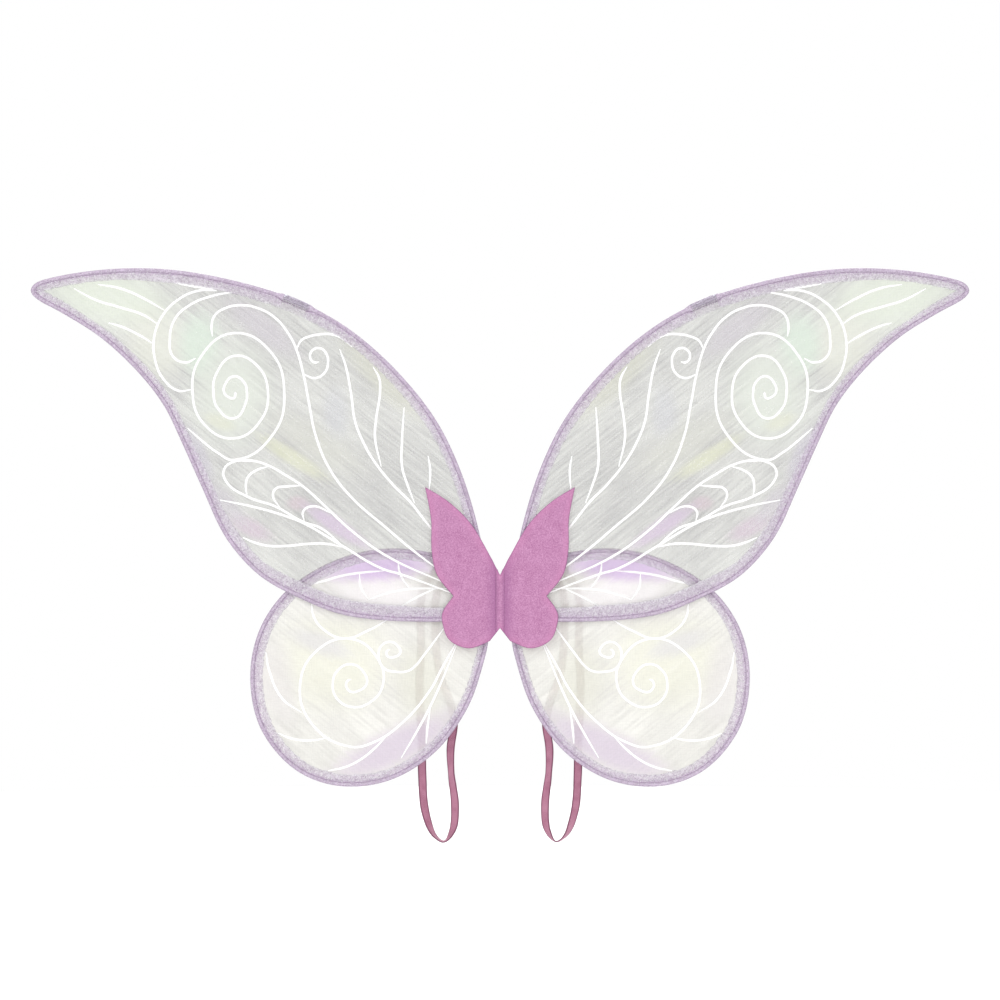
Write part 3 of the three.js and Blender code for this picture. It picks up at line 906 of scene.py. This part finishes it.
def printed_organza(wing):
    """Sheer nylon organza with an iridescent finish: a faint weave, with its iridescence painted as pale
    tinted streaks and patches of sheen.
    """
    material = blank_material(f"{wing}_printed_organza")
    place = add(material, "ShaderNodeTexCoord").outputs["Object"]
    parts = add(material, "ShaderNodeSeparateXYZ", {0: place})
    span = add(material, "ShaderNodeMath", {0: parts.outputs[0]}, operation="ABSOLUTE")
    folded = add(material, "ShaderNodeCombineXYZ", {
        0: span.outputs[0], 1: parts.outputs[1], 2: parts.outputs[2]}).outputs[0]
    # The streaks run long towards the tip and are 2 mm wide: painted sheen in the colour, and thinner
    # cover in the alpha.
    brushed = add(material, "ShaderNodeMapping", {
        "Vector": folded, "Rotation": (0, math.radians(-38), 0),
        "Scale": (55 * MM, 1, 2.2 * MM)}, vector_type="TEXTURE")
    streaks = add(material, "ShaderNodeTexNoise", {
        "Vector": brushed.outputs[0], "Scale": 1.0, "Detail": 5.0, "Roughness": 0.65})
    cloud = add(material, "ShaderNodeTexNoise", {
        "Vector": folded, "Scale": 1 / (70 * MM), "Detail": 3.0})
    # The threads are 0.1 mm. They are drawn as slubs 1.1 mm wide and 9 mm long, so that they show.
    threads = []
    for size in ((9 * MM, 1, 1.1 * MM), (1.1 * MM, 1, 9 * MM)):
        slub = add(material, "ShaderNodeMapping", {"Vector": place, "Scale": size},
                   vector_type="TEXTURE")
        threads.append(add(material, "ShaderNodeTexNoise", {
            "Vector": slub.outputs[0], "Scale": 1.0, "Detail": 2.0, "Roughness": 0.6}))
    weave = add(material, "ShaderNodeMath", {
        0: threads[0].outputs["Fac"], 1: threads[1].outputs["Fac"]}, operation="ADD")
    finish_and_painted_sheen = add(material, "ShaderNodeMath", {
        0: cloud.outputs["Fac"], 1: 0.5, 2: streaks.outputs["Fac"]}, operation="MULTIPLY_ADD")
    low, high = FILM_BASE[wing]
    # Painted sheen: the film's tone follows the streaks.
    tone = add(material, "ShaderNodeValToRGB", {"Fac": finish_and_painted_sheen.outputs[0]})
    stops(tone, (0.58, low), (0.9, high))
    colour = tone.outputs[0]
    for tint, strength, x, z, long_half, wide_half, slant in FILM_TINTS[wing]:
        patch = add(material, "ShaderNodeMapping", {
            "Vector": folded, "Location": (x * MM, 0, z * MM),
            "Rotation": (0, math.radians(-slant), 0),
            "Scale": (long_half * MM, 1, wide_half * MM)}, vector_type="TEXTURE")
        radius = add(material, "ShaderNodeVectorMath", {0: patch.outputs[0]}, operation="LENGTH")
        ragged = add(material, "ShaderNodeMath", {
            0: streaks.outputs["Fac"], 1: -0.9, 2: radius.outputs["Value"]},
            operation="MULTIPLY_ADD")
        share = add(material, "ShaderNodeMapRange", {
            "Value": ragged.outputs[0], "From Min": 0.8, "From Max": -0.1, "To Max": strength},
            interpolation_type="SMOOTHSTEP")
        colour = add(material, "ShaderNodeMix", {
            0: share.outputs[0], 6: colour, 7: linear(tint)}, data_type="RGBA").outputs[2]
    thin, thick = FILM_COVER[wing]
    streaked = add(material, "ShaderNodeMath", {
        0: weave.outputs[0], 1: 0.7, 2: finish_and_painted_sheen.outputs[0]}, operation="MULTIPLY_ADD")
    full = add(material, "ShaderNodeMapRange", {
        "Value": streaked.outputs[0], "From Min": 1.15, "From Max": 1.75,
        "To Min": thick, "To Max": thin})
    x, z, long_half, wide_half, slant, left_over, edge = FILM_THIN[wing]
    worn = add(material, "ShaderNodeMapping", {
        "Vector": folded, "Location": (x * MM, 0, z * MM),
        "Rotation": (0, math.radians(-slant), 0),
        "Scale": (long_half * MM, 1, wide_half * MM)}, vector_type="TEXTURE")
    reach = add(material, "ShaderNodeVectorMath", {0: worn.outputs[0]}, operation="LENGTH")
    kept = add(material, "ShaderNodeMapRange", {
        "Value": reach.outputs["Value"], "From Min": edge, "From Max": 1.0, "To Min": left_over,
        "To Max": 1.0}, interpolation_type="SMOOTHSTEP")
    cover = add(material, "ShaderNodeMath", {0: full.outputs[0], 1: kept.outputs[0]},
                operation="MULTIPLY")
    bump = add(material, "ShaderNodeBump", {
        "Height": streaked.outputs[0], "Strength": 0.3, "Distance": 0.2 * MM})
    organza = add(material, "ShaderNodeBsdfPrincipled", {
        "Base Color": colour, "Alpha": cover.outputs[0], "Roughness": 0.35,
        "Normal": bump.outputs[0], "Thin Film Thickness": 420.0, "Thin Film IOR": 1.38})
    return close_material(material, organza)


def film_pull(flat, rim):
    """How far the stretched film leaves its plane at a place, by its distance to the wire."""
    along = (flat.x + 0.8 * flat.z) * 5
    aside = (flat.z - 0.8 * flat.x) * 22
    pull = noise.noise(Vector((along, 3.1, aside)))
    return FILM_PULL * pull * smoothstep(0, FILM_RIM, rim)


def make_film(wing, organza):
    """A thin closed sheet on the CAD film, with the long soft pulls of tension."""
    node = f"right_{wing}_film"
    low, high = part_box(node)
    middle = (low[1] + high[1]) / 2
    bm = front_face(node)
    area = sum(face.calc_area() for face in bm.faces)
    cut_grid(bm, FILM_CELL)
    rim_of = rim_finder(bm, 2 * MM)

    def stands(flat):
        return middle + film_pull(flat, rim_of(flat))

    close_panel(bm, lambda flat: stands(flat) - FILM_HALF, lambda flat: stands(flat) + FILM_HALF)
    film = make_pair(f"{wing}_organza", bm, organza, f"{wing}_film")
    flat_size = (high[0] - low[0], high[2] - low[2])
    return film, flat_size, area, stands


# ---------------------------------------------------------------- printed veins


def curl(centre, start, turn, radii):
    """A spiral that opens from its centre: one radius for each quarter turn, in millimetres."""
    points = []
    for i in range(2 * len(radii) - 1):
        radius = radii[i // 2]
        if i % 2:
            # Between two quarter turns the line follows the ellipse that joins them.
            radius *= math.sqrt(2) * radii[i // 2 + 1] / math.hypot(radius, radii[i // 2 + 1])
        angle = math.radians(start + turn * 45 * i)
        points.append((centre[0] + radius * math.cos(angle), centre[1] + radius * math.sin(angle)))
    return points


# Lines of the print on the right wings: x and z, in millimetres.
VEINS = {
    "upper": [
        # the tall stem with its arch
        [(276, 253), (277, 262), (274, 273), (264, 280), (249, 283), (232, 280), (216, 271),
         (204, 257), (196, 242), (189, 218), (183, 187), (177, 158), (163, 125), (142, 98),
         (110, 70), (84, 48), (56, 27)],
        # the big curl and its tail
        curl((255.4, 199.7), 180, 1, [1.4, 5.8, 9.6, 15.1, 12.4, 25.3, 19.7, 34.6, 32.6, 44.6,
                                      39.8, 56.6, 48.3, 65.3])
        + [(272, 142), (285, 152), (300, 165)],
        # the small curl and the hook over it
        [(173.5, 228.7), (177.5, 228), (181.3, 230.5), (182.4, 235.2), (179.5, 240.2),
         (173.5, 241.9), (167.3, 237.5), (165.1, 228), (168.5, 218), (177.6, 213.1), (189, 217)],
        [(195, 241), (191, 249), (183, 253), (173, 255), (161, 255), (151, 251), (142, 243)],
        # feathers that run down to the root
        [(154, 241), (148, 224), (143, 198), (139, 171), (132, 153), (122, 135), (103, 111),
         (86, 94), (75, 80), (60, 61)],
        [(122, 224), (116, 213), (115, 202), (119, 173), (120, 156), (114, 128)],
        [(92, 185), (94, 154), (94, 128), (89, 111), (82, 93)],
        [(69, 138), (67, 125), (68, 106)],
        # arcs behind the big curl
        [(272, 297), (289, 297), (308, 289), (324, 273), (332, 252), (331, 230), (323, 212),
         (309, 201), (296, 202)],
        [(254, 296), (276, 292), (298, 283), (312, 270), (317, 250), (314, 234), (302, 228),
         (292, 232)],
        # lines towards the tip
        [(386, 303), (364, 299), (341, 289), (322, 278)],
        [(409, 299), (388, 288), (365, 281), (341, 273), (329, 265)],
        [(376, 266), (365, 263), (344, 253), (333, 246)],
        [(336, 310), (319, 307), (303, 303), (286, 300), (263, 298)],
        # the two lower ribs with their scallops
        [(251, 134), (239, 134), (222, 129), (206, 120), (189, 109), (170, 92), (143, 67),
         (110, 43), (52, 16)],
        [(239, 133), (255, 133), (265, 125), (263, 114), (242, 99), (216, 90), (189, 75),
         (172, 69), (152, 53)],
        [(223, 128), (233, 125), (242, 118), (244, 110), (243, 100)],
        [(190, 110), (204, 109), (215, 107), (218, 101), (211, 88)],
        [(161, 83), (180, 90), (189, 85), (188, 76)],
        # long lines over the lower edge
        [(269, 96), (239, 90), (204, 80), (187, 73), (153, 53), (113, 30), (96, 25), (47, 7)],
        [(247, 60), (235, 55), (222, 52), (204, 52), (183, 54), (167, 54), (152, 51)],
    ],
    "lower": [
        # fan under the upper wing
        [(189, 14), (170, 18), (153, 23), (135, 26), (111, 28)],
        [(135, 25), (134, 13), (126, 0)],
        [(126.3, 0.4), (110, 6), (91, 10), (48, 11)],
        [(98, 37), (96, 25), (87, 11)],
        [(98, -8), (79, 3), (60, 12)],
        # the big curl and its sweep to the root
        curl((143, -80.6), 90, -1, [4.3, 4.8, 7.7, 14.9, 18.9, 17.7, 22.1, 30.7, 43.2, 49, 60.5])
        + [(122, -137), (95, -119), (66, -85), (56, -66), (38, -34)],
        # the small curl with its tail
        curl((105.6, -50.9), 90, -1, [3.4, 3.4, 4.3, 9.6, 10.6, 11])
        + [(112, -65), (100, -69), (88, -68), (81, -63), (73, -53), (50, -22)],
        [(181, -4), (179, -16), (170, -28), (150, -37), (126, -29), (108, -19)],
        # short lines at the rim
        [(225, -50), (222, -67), (209, -95), (191, -108)],
        [(213, -128), (201, -133), (182, -135), (164, -132)],
        [(165, -164), (150, -161), (135, -154), (122, -144), (110, -132)],
        [(95, -152), (78, -123), (64, -96), (42, -44)],
        [(71, -138), (70, -125), (67, -104)],
    ],
}


def vein_ink():
    """White puff print with fine glitter: thick, matt and very white."""
    material = blank_material("vein_ink")
    place = add(material, "ShaderNodeTexCoord").outputs["Object"]
    # The flakes are drawn 0.7 mm wide, about three times their size, so that they show.
    flakes = add(material, "ShaderNodeTexVoronoi", {"Vector": place, "Scale": 1 / (0.7 * MM)})
    flake = add(material, "ShaderNodeSeparateColor", {0: flakes.outputs["Color"]})
    tone = add(material, "ShaderNodeValToRGB", {"Fac": flake.outputs[0]})
    stops(tone, (0.0, "#f4f4f2"), (1.0, "#ffffff"))
    rough = add(material, "ShaderNodeMapRange", {
        "Value": flake.outputs[1], "To Min": 0.3, "To Max": 0.6})
    bump = add(material, "ShaderNodeBump", {
        "Height": flake.outputs[2], "Strength": 0.2, "Distance": 0.15 * MM})
    ink = add(material, "ShaderNodeBsdfPrincipled", {
        "Base Color": tone.outputs[0], "Roughness": rough.outputs[0], "Normal": bump.outputs[0]})
    return close_material(material, ink)


def make_veins(wing, stands, ink):
    """The print as a low relief that has soaked through the film and stands up on both faces."""
    curve = bpy.data.curves.new("veins", "CURVE")
    curve.dimensions = "3D"
    curve.bevel_depth = VEIN_WIDTH / 2
    curve.bevel_resolution = 1
    curve.resolution_u = 7
    curve.use_fill_caps = True
    for line in VEINS[wing]:
        spline = curve.splines.new("BEZIER")
        spline.bezier_points.add(len(line) - 1)
        for i, (point, (x, z)) in enumerate(zip(spline.bezier_points, line)):
            point.co = (x * MM, 0, z * MM)
            point.handle_left_type = point.handle_right_type = "AUTO"
            point.radius = 0.55 if i in (0, len(line) - 1) else 1.0
    holder = bpy.data.objects.new("veins", curve)
    bpy.context.scene.collection.objects.link(holder)
    ready = holder.evaluated_get(bpy.context.evaluated_depsgraph_get())
    mesh = bpy.data.meshes.new_from_object(ready)
    bm = bmesh.new()
    bm.from_mesh(mesh)
    bpy.data.objects.remove(holder)
    bpy.data.curves.remove(curve)
    bpy.data.meshes.remove(mesh)
    bmesh.ops.remove_doubles(bm, verts=bm.verts, dist=MERGE)
    bmesh.ops.recalc_face_normals(bm, faces=bm.faces)
    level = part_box(f"right_{wing}_film")[0][1]
    flatten = 2 * (FILM_HALF + VEIN_RISE) / VEIN_WIDTH
    for vert in bm.verts:
        middle = stands(Vector((vert.co.x, level, vert.co.z)))
        vert.co.y = middle + vert.co.y * flatten
    return make_pair(f"{wing}_vein_print", bm, ink)


# ---------------------------------------------------------------- tape and stitches


def cotton_tape():
    """Plain-woven cotton tape, off-white."""
    material = blank_material("cotton_tape")
    place = add(material, "ShaderNodeTexCoord").outputs["Object"]
    threads = []
    for axis in ("X", "Z"):
        threads.append(add(material, "ShaderNodeTexWave", {
            "Vector": place, "Scale": 1 / (0.9 * MM) / 6.283, "Distortion": 0.6,
            "Detail": 1.0}, bands_direction=axis))
    weave = add(material, "ShaderNodeMath", {
        0: threads[0].outputs["Fac"], 1: threads[1].outputs["Fac"]}, operation="MULTIPLY")
    grime = add(material, "ShaderNodeTexNoise", {
        "Vector": place, "Scale": 1 / (6 * MM), "Detail": 3.0})
    shade = add(material, "ShaderNodeMath", {
        0: weave.outputs[0], 1: 0.5, 2: grime.outputs["Fac"]}, operation="MULTIPLY_ADD")
    tone = add(material, "ShaderNodeValToRGB", {"Fac": shade.outputs[0]})
    stops(tone, (0.35, "#cfc6cc"), (0.9, "#ece7ea"))
    bump = add(material, "ShaderNodeBump", {
        "Height": weave.outputs[0], "Strength": 0.6, "Distance": 0.2 * MM})
    tape = add(material, "ShaderNodeBsdfPrincipled", {
        "Base Color": tone.outputs[0], "Roughness": 0.85, "Normal": bump.outputs[0]})
    return close_material(material, tape)


def make_anchors(tape, thread):
    """The patch that holds a strap's two ends, sewn round with a crossed box."""
    node = "right_strap_anchor"
    low, high = (Vector(corner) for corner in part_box(node))
    bm = front_face(node)
    for width in (0.2 * MM, 0.3 * MM):
        inner = max(bm.faces, key=lambda face: face.calc_area())
        bmesh.ops.inset_region(bm, faces=[inner], thickness=width, use_even_offset=True)
    cut_grid(bm, 0.8 * MM)
    rim_of = rim_finder(bm, 0.2 * MM)
    half = (high.y - low.y) / 2

    def puff(flat):
        share = 1 - min(rim_of(flat) / (0.6 * MM), 1)
        seam = math.exp(-((rim_of(flat) - 2.2 * MM) / (0.6 * MM)) ** 2)
        return half * math.sqrt(1 - share * share) - 0.22 * MM * seam

    middle = (low.y + high.y) / 2
    close_panel(bm, lambda flat: middle - half * 0.95 * (puff(flat) > 0), lambda flat: middle + puff(flat))
    make_pair("anchor_patch", bm, tape, "strap_anchor")
    inset = 2.2 * MM
    box = [(low.x + inset, low.z + inset), (high.x - inset, low.z + inset),
           (high.x - inset, high.z - inset), (low.x + inset, high.z - inset)]
    runs = list(zip(box, box[1:] + box[:1])) + [(box[0], box[2]), (box[1], box[3])]
    seam = bmesh.new()
    for (x0, z0), (x1, z1) in runs:
        a, b = Vector((x0, high.y, z0)), Vector((x1, high.y, z1))
        count = round((b - a).length / (2 * MM))
        for k in range(count):
            centre = a.lerp(b, (k + 0.5) / count) - Vector((0, 0.1 * MM, 0))
            turn = (b - a).to_track_quat("Z", "Y").to_matrix().to_4x4()
            stretch = Matrix.Diagonal((1, 1, 0.75 * MM / STITCH_RADIUS, 1))
            bmesh.ops.create_uvsphere(seam, u_segments=6, v_segments=5, radius=STITCH_RADIUS,
                                      matrix=Matrix.Translation(centre) @ turn @ stretch)
    make_pair("anchor_stitching", seam, thread)


# ---------------------------------------------------------------- the object


def dress_nodes(material, *names):
    """Give CAD nodes that stay in view their material."""
    for name in names:
        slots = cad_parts[name].material_slots
        for slot in slots:
            slot.material = material


def make_wings():
    steel, nickel = spring_steel(), nickel_plate()
    hem_cloth, thread, ink = glitter_hem(), seam_thread(), vein_ink()
    tubes = {"upper": (26 * MM, 1.9 * MM, 2.7 * MM), "lower": (10 * MM, 1.3 * MM, 1.6 * MM)}
    for wing in ("upper", "lower"):
        rings = wire_path(f"right_{wing}_wire")
        if sum(a.x * b.z - b.x * a.z for a, b in zip(rings, rings[1:])) < 0:
            rings.reverse()
        joint = (rings[0] + rings[-1]) / 2
        loop = even_path(rings, HEM_STEP, closed=True)
        make_wire(wing, rings, steel)
        make_sleeve(wing, loop, joint, nickel, *tubes[wing])
        film, flat_size, area, stands = make_film(wing, printed_organza(wing))
        veins = make_veins(wing, stands, ink)
        hem = make_hem(wing, loop, joint, hem_cloth, thread)
    tape = cotton_tape()
    make_anchors(tape, thread)
    dress_nodes(tape, "left_root_binding", "right_root_binding")


# ---------------------------------------------------------------- stage

FLOOR_DROP = 80 * MM
FLOOR_RADIUS = 2.0


def make_stage():
    floor_paint = blank_material("floor_paint")
    place = add(floor_paint, "ShaderNodeTexCoord").outputs["Object"]
    grain = add(floor_paint, "ShaderNodeTexNoise", {"Vector": place, "Scale": 6.0})
    tone = add(floor_paint, "ShaderNodeValToRGB", {"Fac": grain.outputs["Fac"]})
    stops(tone, (0.3, "#f6f6f6"), (0.7, "#f9f9f9"))
    matt = add(floor_paint, "ShaderNodeBsdfDiffuse", {"Color": tone.outputs[0]})
    close_material(floor_paint, matt)
    bm = bmesh.new()
    level = CAD_BOX[0][2] - FLOOR_DROP
    bmesh.ops.create_circle(bm, cap_ends=True, segments=128, radius=FLOOR_RADIUS,
                            matrix=Matrix.Translation((0, 0, level)))
    mesh = bpy.data.meshes.new("floor")
    bm.to_mesh(mesh)
    bm.free()
    mesh.materials.append(floor_paint)
    floor = bpy.data.objects.new("floor", mesh)
    bpy.context.scene.collection.objects.link(floor)


def make_light(name, place, size, energy):
    lamp = bpy.data.lights.new(name, "AREA")
    lamp.size = size
    lamp.energy = energy
    light = bpy.data.objects.new(name, lamp)
    light.location = place
    light.rotation_euler = (-Vector(place)).to_track_quat("-Z", "Y").to_euler()
    bpy.context.scene.collection.objects.link(light)


def make_lights():
    """A white room: the walls are brighter to the eye than the light they give."""
    world = bpy.data.worlds.new("white_room")
    world.use_nodes = True
    nodes, links = world.node_tree.nodes, world.node_tree.links
    nodes.clear()
    seen = nodes.new("ShaderNodeLightPath")
    strength = nodes.new("ShaderNodeMapRange")
    strength.inputs["To Min"].default_value = 0.81
    strength.inputs["To Max"].default_value = 1.0
    links.new(seen.outputs["Is Camera Ray"], strength.inputs["Value"])
    walls = nodes.new("ShaderNodeBackground")
    walls.inputs["Color"].default_value = (1, 1, 1, 1)
    links.new(strength.outputs[0], walls.inputs["Strength"])
    links.new(walls.outputs[0], nodes.new("ShaderNodeOutputWorld").inputs["Surface"])
    bpy.context.scene.world = world
    make_light("key", (-1.5, -2.2, 2.0), 1.8, 26)
    make_light("fill", (1.9, -1.8, 0.9), 1.8, 8)
    make_light("back", (0.4, 2.4, 1.6), 1.6, 24)
    make_light("top", (0.0, 0.2, 3.2), 2.4, 50)


# ---------------------------------------------------------------- making

bpy.context.scene.view_settings.view_transform = "Standard"
make_camera()
make_straps()
make_felt()
make_wings()
make_stage()
make_lights()

bpy.context.view_layer.update()
